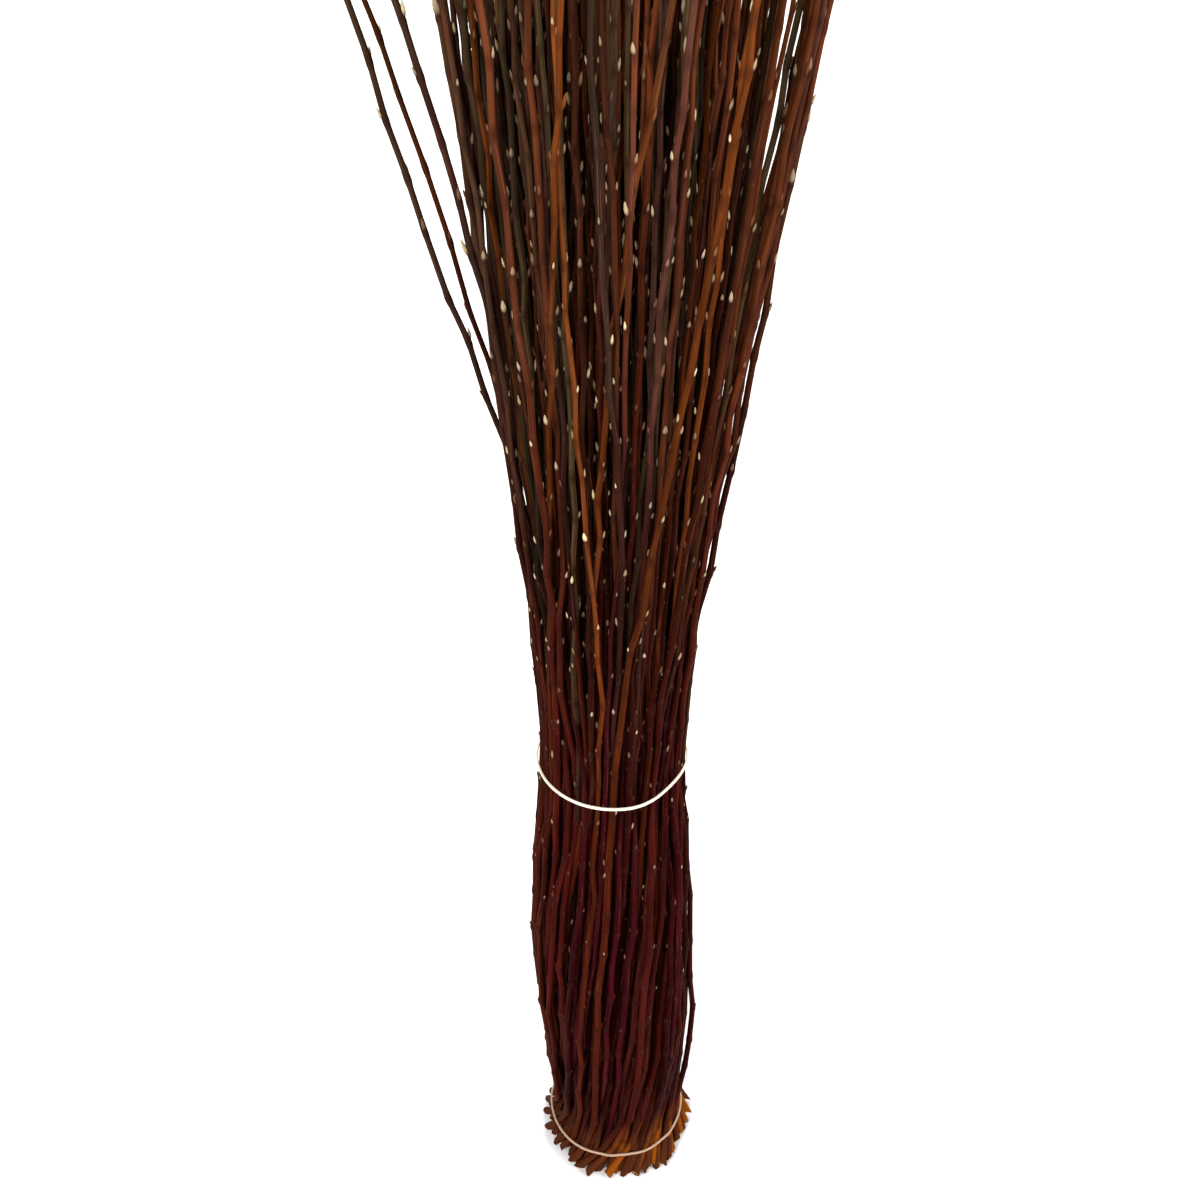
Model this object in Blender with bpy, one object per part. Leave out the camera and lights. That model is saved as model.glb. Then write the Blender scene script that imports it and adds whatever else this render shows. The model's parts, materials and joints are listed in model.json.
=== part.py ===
"""A tied bundle of dried willow rods that stands on its evened cut ends.

Units are metres and +Z is up. The origin is on the floor, in the middle of the cut ends.
-Y is the front. The rods that show on the outside are solids of their own. The rods inside them
are one solid of their form: a fused column that parts above the upper band into tapering fingers
up to the tips. Two rubber bands hold everything together.
"""

import math

import bmesh
import bpy
import numpy as np
from mathutils import Matrix, Vector

# Rods
TALLEST_ROD = 1.2
SHORTEST_ROD = 1.06
BUTT_RADIUS = 0.00228
TIP_RADIUS = 0.0006
TAPER_POWER = 0.5
THICKNESS_SPREAD = 0.14
OUTER_RODS = 57
CLEARANCE = 0.0004
BUTT_UNEVENNESS = 0.006

# The shape of the bundle at each height: outer radius, sideways drift of its centre, and the
# thickness of the loose outer layer of rods that surrounds the inner ones.
SHAPE = (
    # height, radius, drift, layer
    (0.000, 0.0580, 0.0005, 0.0155),
    (0.025, 0.0488, 0.0000, 0.0135),
    (0.100, 0.0523, 0.0000, 0.0140),
    (0.200, 0.0550, -0.0045, 0.0140),
    (0.310, 0.0512, -0.0052, 0.0125),
    (0.409, 0.0428, -0.0065, 0.0098),
    (0.500, 0.0463, -0.0055, 0.0108),
    (0.600, 0.0553, -0.0035, 0.0132),
    (0.750, 0.0705, -0.0022, 0.0140),
    (0.930, 0.0900, 0.0000, 0.0175),
    (1.200, 0.1140, 0.0020, 0.0220),
)
HEIGHTS = np.array([row[0] for row in SHAPE])
RADII = np.array([row[1] for row in SHAPE])
DRIFT = np.array([row[2] for row in SHAPE])
LAYER = np.array([row[3] for row in SHAPE])
LOWER_BAND_LEVEL = 1
UPPER_BAND_LEVEL = 5

# How the rods lie. The bundle turns below the upper band, most steeply near its foot, and its front
# layer of rods further than the layer behind, so that the two cross. Above the band, each rod leans
# its own way.
TWIST = 0.95
TWIST_POWER = 0.5
TWIST_SPLIT = 0.20
TWIST_SPREAD = 0.20
FAN_LEAN = 0.36
WANDER = 0.11
WANDER_LENGTH = 0.32
JITTER = 0.022
BUTT_TURN = -0.10
BUTT_SHUFFLE = 0.09
FRONT_DEPTH = 0.22
BEHIND_DEPTH = 0.74
DIVE = 0.22
DIVE_LENGTH = 0.62
SEED = 11

# Three brighter rods cross the front. Each has its angles and depths at the six highest levels.
FRONT_RODS = {
    26: ((-2.55, -2.50, -2.37, -2.05, -1.86, -1.72), (0.22, 0.22, 0.20, 0.12, 0.12, 0.12)),
    32: ((-1.74, -1.68, -1.86, -1.98, -1.96, -1.94), (0.22, 0.22, 0.20, 0.34, 0.50, 0.50)),
    34: ((-1.57, -1.49, -1.28, -1.07, -0.98, -0.90), (0.22, 0.20, 0.20, 0.16, 0.12, 0.12)),
}
FRONT_HOLD = 0.3

# Strays lean out at the upper left. Each has its x and y at the five highest levels.
STRAYS = (
    ((-0.0490, -0.004), (-0.0575, -0.006), (-0.0887, -0.008), (-0.1275, -0.012), (-0.180, -0.018)),
    ((-0.0470, 0.012), (-0.0560, 0.017), (-0.0875, 0.025), (-0.1360, 0.034), (-0.196, 0.046)),
    ((-0.0450, -0.016), (-0.0530, -0.022), (-0.0655, -0.027), (-0.1050, -0.036), (-0.160, -0.048)),
)
STRAY_ANGLES = (3.12, 2.84, 3.43)

# Rods that bow out on the right, and the gap that the rods beside and behind them leave.
BOWS = (
    {"angle": -0.08, "levels": [2], "out": 0.0012, "gap": 0.0022},
    {"angle": -0.08, "levels": [7, 8], "out": 0.0004, "gap": 0.0030},
)
BOW_SPAN = 0.45

# Inner rods
CELL_RINGS = 2
PART_LEVEL = 6
PARTING_GAP = 0.0008
FINGER_TIP_RADIUS = 0.0022
FINGER_TOPS = (1.06, 1.15)

# Rubber bands
BAND_THICKNESS = 0.0014
BAND_WIDTH = 0.0018
BAND_CLEARANCE = 0.0005
BAND_SEGMENTS = 44
BAND_SIDES = 6

# Colours are linear red, green and blue.
BARK = {
    "bark_maroon": (0.062, 0.014, 0.013),
    "bark_red": (0.125, 0.026, 0.010),
    "bark_orange": (0.300, 0.075, 0.010),
    "bark_olive": (0.085, 0.046, 0.018),
}
BARK_MIX = ("bark_maroon", "bark_red", "bark_maroon", "bark_red", "bark_olive", "bark_red", "bark_orange")
BARK_ROUGHNESS = 0.5
RUBBER = (0.86, 0.76, 0.58)
RUBBER_ROUGHNESS = 0.45


def clear_scene():
    for old in list(bpy.data.objects):
        bpy.data.objects.remove(old, do_unlink=True)


def new_collection(name):
    collection = bpy.data.collections.new(name)
    bpy.context.scene.collection.children.link(collection)
    return collection


def new_material(name, colour, roughness):
    material = bpy.data.materials.new(name)
    material.use_nodes = True
    shader = material.node_tree.nodes["Principled BSDF"]
    shader.inputs["Base Color"].default_value = (*colour, 1.0)
    shader.inputs["Roughness"].default_value = roughness
    shader.inputs["Metallic"].default_value = 0.0
    return material


def rod_radius(height, length, thickness):
    """A willow shoot keeps most of its thickness to two thirds of its length, then thins fast."""
    left = np.clip(1.0 - height / length, 0.0, 1.0)
    return thickness * (TIP_RADIUS + (BUTT_RADIUS - TIP_RADIUS) * left**TAPER_POWER)


def polar(angle, radius):
    return np.stack([np.cos(angle) * radius, np.sin(angle) * radius], axis=-1)


def wished_paths(rng):
    """Where each rod would lie if the others weren't there: x and y for each rod at each level."""
    ring = OUTER_RODS - len(STRAYS)
    levels = len(HEIGHTS)
    waist = HEIGHTS[UPPER_BAND_LEVEL]
    slot = np.arange(ring) + rng.uniform(-0.3, 0.3, ring)
    angles = np.concatenate([slot * math.tau / ring, STRAY_ANGLES])
    behind = np.arange(OUTER_RODS) % 2 == 1
    twist = TWIST + np.where(behind, -TWIST_SPLIT, TWIST_SPLIT)
    twist += rng.normal(0.0, TWIST_SPREAD, OUTER_RODS)
    lean = rng.normal(0.0, FAN_LEAN, OUTER_RODS)
    sway = rng.uniform(0.3, 1.0, OUTER_RODS) * WANDER
    twist[ring:], lean[ring:], sway[ring:] = TWIST, 0.0, 0.0

    phase, dive_phase = rng.uniform(0.0, math.tau, (2, OUTER_RODS, 1))
    rise = np.clip(HEIGHTS / waist, 0.0, 1.0) ** TWIST_POWER
    fan = np.clip((HEIGHTS - waist) / (TALLEST_ROD - waist), 0.0, 1.0)
    turn = twist[:, None] * rise + lean[:, None] * fan
    turn += sway[:, None] * np.sin(phase + HEIGHTS * math.tau / WANDER_LENGTH)
    turn += rng.normal(0.0, JITTER, (OUTER_RODS, levels))
    depth = np.where(behind, BEHIND_DEPTH, FRONT_DEPTH)[:, None]
    depth = depth + DIVE * np.sin(dive_phase + HEIGHTS * math.tau / DIVE_LENGTH)
    turn[:, : LOWER_BAND_LEVEL + 1] += rng.normal(BUTT_TURN, BUTT_SHUFFLE, (OUTER_RODS, 1))
    for rod, (held_angles, held_depths) in FRONT_RODS.items():
        held_turn = np.array(held_angles) + math.tau - angles[rod]
        turn[rod] = rise * held_turn[0]
        turn[rod, UPPER_BAND_LEVEL:] = held_turn
        depth[rod, UPPER_BAND_LEVEL:] = held_depths
    paths = polar(angles[:, None] + turn, RADII - LAYER * depth)
    paths[:, :, 0] += DRIFT
    for stray, reach in enumerate(STRAYS):
        paths[ring + stray, levels - len(reach) :] = reach
    return paths


def bowed_rods(paths):
    """For each bow, the number of the rod that lies nearest to its lowest level."""
    chosen = []
    for bow in BOWS:
        level = bow["levels"][0]
        spot = polar(bow["angle"], RADII[level]) + (DRIFT[level], 0.0)
        chosen.append(int(np.argmin(np.linalg.norm(paths[:, level] - spot, axis=1))))
    return chosen


def outer_limit(paths, bowed):
    """How far from the bundle's centre the outside of each rod may lie at each level."""
    limit = np.tile(RADII, (OUTER_RODS, 1))
    limit[OUTER_RODS - len(STRAYS) :, UPPER_BAND_LEVEL + 1 :] = 1.0
    for bow, rod in zip(BOWS, bowed):
        levels = bow["levels"]
        aside = np.arctan2(paths[:, levels, 1], paths[:, levels, 0] - DRIFT[levels]) - bow["angle"]
        limit[:, levels] -= np.where(np.abs(aside) < BOW_SPAN, bow["gap"], 0.0)
        limit[rod, levels] = RADII[levels] + bow["out"]
    return limit


def hold_bows(paths, radii, bowed):
    for bow, rod in zip(BOWS, bowed):
        for level in bow["levels"]:
            out = RADII[level] + bow["out"] - radii[rod, level]
            paths[rod, level] = polar(bow["angle"], out) + (DRIFT[level], 0.0)


def straighten(paths, strength):
    """Eases each rod towards an even course, measured as a share of the bundle's own radius."""
    centre = np.stack([DRIFT, np.zeros_like(DRIFT)], axis=-1)
    course = (paths - centre) / RADII[:, None]
    course[:, 1:-1] += strength * ((course[:, :-2] + course[:, 2:]) / 2 - course[:, 1:-1])
    return course * RADII[:, None] + centre


def nearest_share(below, above):
    """How far up from one level to the next a straight offset comes closest to nothing, 0 to 1."""
    change = above - below
    steep = np.maximum(np.sum(change * change, axis=1), 1e-12)
    return np.clip(-np.sum(below * change, axis=1) / steep, 0.0, 1.0)


def push_apart(below, above, least):
    """Moves for the lower and the upper end that open an offset to the least distance."""
    share = nearest_share(below, above)[:, None]
    apart = below + share * (above - below)
    distance = np.maximum(np.linalg.norm(apart, axis=1, keepdims=True), 1e-9)
    push = apart * np.maximum(least[:, None] - distance, 0.0) / distance
    push /= share**2 + (1.0 - share) ** 2
    return (1.0 - share) * push, share * push


def part_neighbours(paths, radii, level, first, second):
    below = paths[first, level] - paths[second, level]
    above = paths[first, level + 1] - paths[second, level + 1]
    least = radii[first, level] + radii[second, level] + CLEARANCE
    for row, move in enumerate(push_apart(below, above, least)):
        np.add.at(paths[:, level + row], first, 0.5 * move)
        np.add.at(paths[:, level + row], second, -0.5 * move)


def keep_off_core(paths, radii, level):
    centre = np.stack([DRIFT, np.zeros_like(DRIFT)], axis=-1)
    core = np.maximum(*(RADII - LAYER)[level : level + 2])
    least = core + radii[:, level] + CLEARANCE
    inner = np.minimum(*(RADII - LAYER)[level : level + 2])
    below = (paths[:, level] - centre[level]) * core / (RADII - LAYER)[level]
    above = (paths[:, level + 1] - centre[level + 1]) * core / (RADII - LAYER)[level + 1]
    for row, move in enumerate(push_apart(below, above, least)):
        paths[:, level + row] += move * inner / core


def hold_inside(paths, radii, limit):
    centre = np.stack([DRIFT, np.zeros_like(DRIFT)], axis=-1)
    offset = paths - centre
    reach = np.linalg.norm(offset, axis=2)
    wanted = np.minimum(reach, limit - radii)
    return centre + offset * (wanted / reach)[:, :, None]


def pack_rods(paths, radii, rounds=1500):
    """Moves the rods apart until none overlaps a neighbour, the inner rods or the outer limit."""
    wished = paths.copy()
    bowed = bowed_rods(paths)
    first, second = np.triu_indices(OUTER_RODS, 1)
    ring = OUTER_RODS - len(STRAYS)
    for turn in range(rounds):
        ease = max(0.0, 1.0 - 2.0 * turn / rounds)
        paths += 0.02 * ease * (wished - paths)
        paths[:ring] = straighten(paths[:ring], 0.06 * ease)
        for level in range(len(HEIGHTS) - 1):
            part_neighbours(paths, radii, level, first, second)
            keep_off_core(paths, radii, level)
        held = list(FRONT_RODS)
        paths[held] += FRONT_HOLD * ease * (wished[held] - paths[held])
        paths = hold_inside(paths, radii, outer_limit(paths, bowed))
        hold_bows(paths, radii, bowed)
    return paths


def along(values, height):
    """A level's value at any height, straight between the levels."""
    return float(np.interp(height, HEIGHTS, values))


def rod_points(path, length, thickness, lift):
    """Centre points of one rod from its cut end to its tip, and the radius at each."""
    lean = math.hypot(*(path[1] - path[0])) / (HEIGHTS[1] - HEIGHTS[0])
    sole = lift + rod_radius(0.0, length, thickness) * lean / math.hypot(1.0, lean)
    heights = [sole, *HEIGHTS[1:-1], length]
    points = [(along(path[:, 0], z), along(path[:, 1], z), z) for z in heights]
    return points, [rod_radius(z, length, thickness) for z in heights]


def make_rod(name, points, radii, material, collection):
    """A tube on a poly curve that starts at the rod's cut end, where the object has its origin."""
    curve = bpy.data.curves.new(name, "CURVE")
    curve.dimensions = "3D"
    curve.bevel_depth = radii[0]
    curve.bevel_resolution = 1
    curve.use_fill_caps = True
    spline = curve.splines.new("POLY")
    spline.points.add(len(points) - 1)
    foot = Vector(points[0])
    for point, place, radius in zip(spline.points, points, radii):
        point.co = (*(Vector(place) - foot), 1.0)
        point.radius = radius / radii[0]
    spline.use_smooth = True
    curve.materials.append(material)
    rod = bpy.data.objects.new(name, curve)
    rod.location = foot
    collection.objects.link(rod)
    return rod


def cell_centres():
    """Centres of a hexagonal patch of cells one unit across their corners' radius."""
    centres = []
    for a in range(-CELL_RINGS, CELL_RINGS + 1):
        for b in range(-CELL_RINGS, CELL_RINGS + 1):
            if abs(a + b) <= CELL_RINGS:
                centres.append(Vector((math.sqrt(3.0) * (a + b / 2.0), 1.5 * b, 0.0)))
    return centres


def patch_reach():
    """Distance from the patch's middle to its furthest corner, in cells."""
    flat = math.sqrt(3.0) * (CELL_RINGS + 0.5)
    return math.hypot(flat, 0.5)


def stretch(verts, centre, height, factor, old_centre):
    for vert in verts:
        offset = vert.co - old_centre
        vert.co = (centre.x + offset.x * factor, centre.y + offset.y * factor, height)


def grow_column(bm, sheet):
    """Raises the patch of cells through the levels as one fused column."""
    core = RADII - LAYER
    for level in range(1, PART_LEVEL + 1):
        raised = bmesh.ops.extrude_face_region(bm, geom=sheet)
        if level > 1:
            bmesh.ops.delete(bm, geom=sheet, context="FACES")
        sheet = [item for item in raised["geom"] if isinstance(item, bmesh.types.BMFace)]
        verts = [item for item in raised["geom"] if isinstance(item, bmesh.types.BMVert)]
        below = Vector((DRIFT[level - 1], 0.0, 0.0))
        above = Vector((DRIFT[level], 0.0, 0.0))
        stretch(verts, above, HEIGHTS[level], core[level] / core[level - 1], below)
    return sheet


def grow_fingers(bm, sheet, rng):
    """Parts the column's top into one tapering finger for each cell."""
    core = RADII - LAYER
    bmesh.ops.inset_individual(bm, faces=sheet, thickness=PARTING_GAP, use_even_offset=True)
    middle = Vector((DRIFT[PART_LEVEL], 0.0, 0.0))
    tops = rng.uniform(*FINGER_TOPS, len(sheet))
    for face, top in zip(sheet, tops):
        start = face.calc_center_median()
        outward = (start - middle) / core[PART_LEVEL]
        size = (face.verts[0].co - start).length
        for height in (*HEIGHTS[PART_LEVEL + 1 : -1], top):
            share = (height - HEIGHTS[PART_LEVEL]) / (top - HEIGHTS[PART_LEVEL])
            radius = size + (FINGER_TIP_RADIUS - size) * share
            raised = bmesh.ops.extrude_discrete_faces(bm, faces=[face])
            face = raised["faces"][0]
            here = face.calc_center_median()
            now = (face.verts[0].co - here).length
            spread = outward * along(core, height)
            centre = Vector((along(DRIFT, height) + spread.x, spread.y, 0.0))
            stretch(face.verts, centre, height, radius / now, here)


def make_inner_rods(material, collection, rng):
    bm = bmesh.new()
    cell = (RADII[0] - LAYER[0]) / patch_reach()
    for centre in cell_centres():
        place = Matrix.Translation(centre * cell)
        bmesh.ops.create_circle(bm, cap_ends=True, segments=6, radius=cell, matrix=place)
    bmesh.ops.remove_doubles(bm, verts=bm.verts, dist=0.1 * cell)
    fingers = grow_column(bm, list(bm.faces))
    grow_fingers(bm, fingers, rng)
    bmesh.ops.recalc_face_normals(bm, faces=bm.faces)
    mesh = bpy.data.meshes.new("inner_rods")
    bm.to_mesh(mesh)
    bm.free()
    mesh.materials.append(material)
    collection.objects.link(bpy.data.objects.new("inner_rods", mesh))


def make_band(name, level, material, collection):
    """A flat rubber ring round the rods at one level."""
    bpy.ops.mesh.primitive_torus_add(
        major_segments=BAND_SEGMENTS,
        minor_segments=BAND_SIDES,
        major_radius=RADII[level] + BAND_CLEARANCE + BAND_THICKNESS / 2,
        minor_radius=BAND_THICKNESS / 2,
        location=(DRIFT[level], 0.0, HEIGHTS[level]),
    )
    band = bpy.context.object
    band.name = name
    band.scale.z = BAND_WIDTH / BAND_THICKNESS
    bpy.ops.object.transform_apply(location=False, rotation=False, scale=True)
    band.data.shade_smooth()
    band.data.materials.append(material)
    for home in list(band.users_collection):
        home.objects.unlink(band)
    collection.objects.link(band)


def main():
    clear_scene()
    collection = new_collection("twig_bundle")
    bark = {name: new_material(name, colour, BARK_ROUGHNESS) for name, colour in BARK.items()}
    rubber = new_material("rubber", RUBBER, RUBBER_ROUGHNESS)
    rng = np.random.default_rng(SEED)

    lengths = rng.uniform(SHORTEST_ROD, TALLEST_ROD, OUTER_RODS)
    lengths[int(np.argmax(lengths[: OUTER_RODS - len(STRAYS)]))] = TALLEST_ROD
    thickness = rng.uniform(1.0 - THICKNESS_SPREAD, 1.0 + THICKNESS_SPREAD, OUTER_RODS)
    lifts = BUTT_UNEVENNESS * np.maximum(rng.uniform(-1.0, 1.0, OUTER_RODS), 0.0)
    radii = np.stack([rod_radius(z, TALLEST_ROD, thickness) for z in HEIGHTS], axis=1)

    paths = pack_rods(wished_paths(rng), radii)
    for rod in range(OUTER_RODS):
        points, sizes = rod_points(paths[rod], lengths[rod], thickness[rod], lifts[rod])
        tone = bark["bark_orange" if rod in FRONT_RODS else BARK_MIX[rod % len(BARK_MIX)]]
        make_rod(f"rod_{rod + 1:02d}", points, sizes, tone, collection)
    make_inner_rods(bark["bark_maroon"], collection, rng)
    make_band("lower_band", LOWER_BAND_LEVEL, rubber, collection)
    make_band("upper_band", UPPER_BAND_LEVEL, rubber, collection)


main()
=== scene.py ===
# %% [markdown]
# # A tied bundle of dried willow rods
# The real thing is some three hundred and fifty one-year willow shoots. They were cut to one
# length, evened at the butt end, dried, and tied with two rubber bands, low down and a third of
# the way up.
# Above the upper band they fan out to their thin tips, and three of them stray out on the left.
#
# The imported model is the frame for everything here. It holds the rods that show on the outside as
# plain six-sided tubes, the rods inside them as one solid, and the two bands as rings.

# %% Load the frame
import json
import math

import bmesh
import bpy
import numpy as np
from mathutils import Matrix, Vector


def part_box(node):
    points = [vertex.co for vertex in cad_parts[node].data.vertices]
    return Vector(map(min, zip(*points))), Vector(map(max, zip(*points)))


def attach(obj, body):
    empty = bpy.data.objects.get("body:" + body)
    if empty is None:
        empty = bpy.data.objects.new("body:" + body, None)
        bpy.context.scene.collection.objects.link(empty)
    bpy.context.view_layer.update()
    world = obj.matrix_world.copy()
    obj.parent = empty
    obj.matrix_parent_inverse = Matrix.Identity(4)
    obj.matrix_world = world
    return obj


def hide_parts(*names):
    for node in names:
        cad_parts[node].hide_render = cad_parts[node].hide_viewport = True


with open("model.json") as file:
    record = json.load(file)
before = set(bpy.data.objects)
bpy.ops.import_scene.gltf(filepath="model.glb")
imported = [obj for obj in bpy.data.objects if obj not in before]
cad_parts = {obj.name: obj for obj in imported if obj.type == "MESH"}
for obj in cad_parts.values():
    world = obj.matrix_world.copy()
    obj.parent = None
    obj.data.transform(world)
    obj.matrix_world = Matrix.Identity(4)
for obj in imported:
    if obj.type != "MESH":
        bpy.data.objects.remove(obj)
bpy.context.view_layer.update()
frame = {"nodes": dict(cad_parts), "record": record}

# %% [markdown]
# ## The studio
# The bundle stands on a plain, nearly white floor. One disc does for it: it reaches past the
# picture, as far as the lamps keep it white, and the sky beyond it is as white as the disc, so
# that a view from any side ends in white. The light is soft, as in a product photograph: a soft
# sky all round, one lamp at the upper left, two more at the right and behind, and an even light
# from straight above, which is mostly for the floor. The sky looks white to the camera but gives
# less light than that, so that the gaps between the rods stay dark.

# %% Floor
FLOOR_RADIUS = 2.8
FLOOR_COLOUR = (0.93, 0.925, 0.915)

bm = bmesh.new()
bmesh.ops.create_circle(bm, cap_ends=True, segments=96, radius=FLOOR_RADIUS)
floor_mesh = bpy.data.meshes.new("floor")
bm.to_mesh(floor_mesh)
bm.free()
floor = bpy.data.objects.new("floor", floor_mesh)
bpy.context.scene.collection.objects.link(floor)

floor_paint = bpy.data.materials.new("floor_paint")
floor_paint.use_nodes = True
floor_shader = floor_paint.node_tree.nodes["Principled BSDF"]
floor_shader.inputs["Base Color"].default_value = (*FLOOR_COLOUR, 1.0)
floor_shader.inputs["Roughness"].default_value = 0.8
floor_shader.inputs["Specular IOR Level"].default_value = 0.1
floor_mesh.materials.append(floor_paint)
print("floor:", 2 * FLOOR_RADIUS, "m across")

# %% Light
SKY_STRENGTH = 0.50
SKY_SEEN = 1.0
OVERHEAD_STRENGTH = 0.6
OVERHEAD_ANGLE = math.radians(70.0)
AIM = Vector((0.0, 0.0, 0.45))
LAMPS = {
    "key_lamp": {"place": (-1.3, -1.9, 2.3), "size": 1.3, "watts": 64.0},
    "fill_lamp": {"place": (1.9, -1.5, 1.6), "size": 1.2, "watts": 48.0},
    "back_lamp": {"place": (0.5, 2.8, 2.6), "size": 2.4, "watts": 90.0},
}

sky = bpy.data.worlds.new("sky")
sky.use_nodes = True
backdrop = sky.node_tree.nodes["Background"]
backdrop.inputs["Color"].default_value = (1.0, 1.0, 1.0, 1.0)
seen = sky.node_tree.nodes.new("ShaderNodeLightPath").outputs["Is Camera Ray"]
strength = sky.node_tree.nodes.new("ShaderNodeMath")
strength.operation = "MULTIPLY_ADD"
sky.node_tree.links.new(seen, strength.inputs[0])
strength.inputs[1].default_value = SKY_SEEN - SKY_STRENGTH
strength.inputs[2].default_value = SKY_STRENGTH
sky.node_tree.links.new(strength.outputs["Value"], backdrop.inputs["Strength"])
bpy.context.scene.world = sky
bpy.context.scene.view_settings.view_transform = "Standard"

for name, lamp in LAMPS.items():
    data = bpy.data.lights.new(name, "AREA")
    data.shape = "DISK"
    data.size = lamp["size"]
    data.energy = lamp["watts"]
    holder = bpy.data.objects.new(name, data)
    holder.location = lamp["place"]
    holder.rotation_euler = (AIM - holder.location).to_track_quat("-Z", "Y").to_euler()
    bpy.context.scene.collection.objects.link(holder)

overhead_data = bpy.data.lights.new("overhead", "SUN")
overhead_data.energy = OVERHEAD_STRENGTH
overhead_data.angle = OVERHEAD_ANGLE
bpy.context.scene.collection.objects.link(bpy.data.objects.new("overhead", overhead_data))
print("lamps:", ", ".join(LAMPS), "and one overhead")

# %% [markdown]
# ## The camera
# The photograph looks down at the bundle from in front, quite close, so that the rods spread out
# towards the top of the picture. The distance and the tilt were found from the two bands: each is
# a ring whose width and depth in the picture give its size and the slope of the view.

# %% Camera
FOCAL_PIXELS = 1600.0
PICTURE_PIXELS = 1200.0
SENSOR_MM = 36.0
CAMERA_PLACE = (-0.0133, -0.648, 1.1145)
CAMERA_DOWN = math.radians(42.0)

camera_data = bpy.data.cameras.new("camera")
camera_data.sensor_fit = "HORIZONTAL"
camera_data.sensor_width = SENSOR_MM
camera_data.lens = SENSOR_MM * FOCAL_PIXELS / PICTURE_PIXELS
camera_data.clip_start = 0.01
camera = bpy.data.objects.new("camera", camera_data)
camera.location = CAMERA_PLACE
camera.rotation_euler = (math.pi / 2 - CAMERA_DOWN, 0.0, 0.0)
bpy.context.scene.collection.objects.link(camera)
bpy.context.scene.camera = camera
print("camera: lens", camera_data.lens, "mm")

# %% [markdown]
# ## Where the outer rods lie
# Each outer rod in the frame is a tube with six corners at each of its rings. The middle of a ring
# is a point of the rod's course, and the corners' distance from it is the rod's radius there. A
# smooth curve through those points gives the course at any height, and stays within about a
# millimetre of the straight stretches in the frame.

# %% Read the courses of the outer rods
RING_GAP = 0.006
STRAYS = ("rod_55", "rod_56", "rod_57")


def rings_of(node):
    """Ring centres, and the radius at each, of one rod in the frame, from the cut end up."""
    corners = np.array([vert.co for vert in frame["nodes"][node].data.vertices])
    corners = np.unique(np.round(corners, 6), axis=0)
    corners = corners[np.argsort(corners[:, 2])]
    rings = np.split(corners, np.flatnonzero(np.diff(corners[:, 2]) > RING_GAP) + 1)
    centres = np.array([ring.mean(axis=0) for ring in rings])
    radii = [np.linalg.norm(ring - ring.mean(axis=0), axis=1).mean() for ring in rings]
    return centres, np.array(radii)


def course_at(knots, heights):
    """x and y at the given heights, on a smooth curve through the knots."""
    slopes = np.gradient(knots[:, :2], knots[:, 2], axis=0)
    span = np.clip(np.searchsorted(knots[:, 2], heights) - 1, 0, len(knots) - 2)
    rise = (knots[span + 1, 2] - knots[span, 2])[:, None]
    t = np.clip((heights - knots[span, 2])[:, None] / rise, 0.0, 1.0)
    start = (1 + 2 * t) * (1 - t) ** 2 * knots[span, :2] + t * (1 - t) ** 2 * rise * slopes[span]
    end = t**2 * (3 - 2 * t) * knots[span + 1, :2] - t**2 * (1 - t) * rise * slopes[span + 1]
    return start + end


outer = {name: rings_of(name) for name in sorted(frame["nodes"]) if name.startswith("rod_")}
print("outer rods:", len(outer), "with", len(outer["rod_01"][0]), "rings each")

# %% [markdown]
# ## Where the inner rods lie
# Nearly three hundred rods fill the space between the outer ones. A spiral that turns by the golden
# angle spreads them evenly over the bundle's cross-section. Each then wanders a little on its way
# up, turns with the bundle, and is pushed aside wherever it meets a neighbour. All this works on
# rows of circles, one row for each of a few heights, and takes a few seconds.

# %% The bundle's own size at each height
LEVELS = np.array([0.0, 0.025, 0.06, 0.1, 0.15, 0.2, 0.255, 0.31, 0.36, 0.409, 0.45, 0.5, 0.6, 0.72,
                   0.85, 1.0, 1.2])
BUTT_RADIUS = 0.00228
TIP_RADIUS = 0.0006
TAPER_POWER = 0.5


def rod_radius(height, length):
    """A willow shoot keeps its thickness for long, then thins fast towards the tip."""
    left = np.clip(1.0 - height / length, 0.0, 1.0)
    return TIP_RADIUS + (BUTT_RADIUS - TIP_RADIUS) * left**TAPER_POWER


ring_names = [name for name in outer if name not in STRAYS]
outer_paths = np.stack([course_at(knots, LEVELS) for knots, _ in outer.values()], axis=1)
outer_radii = np.stack(
    [np.interp(LEVELS, knots[:, 2], radii) for knots, radii in outer.values()], axis=1
)
ring = [list(outer).index(name) for name in ring_names]
MIDDLES = outer_paths[:, ring].mean(axis=1)
REACHES = np.linalg.norm(outer_paths[:, ring] - MIDDLES[:, None], axis=2).mean(axis=1)
turns = outer_paths[:, ring] - MIDDLES[:, None]
angles = np.unwrap(np.arctan2(turns[..., 1], turns[..., 0]), axis=0)
TURN = (angles - angles[0]).mean(axis=1)
print("bundle radius in mm:", np.round(1000 * REACHES, 1), "turn:", np.round(TURN, 2))

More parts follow.
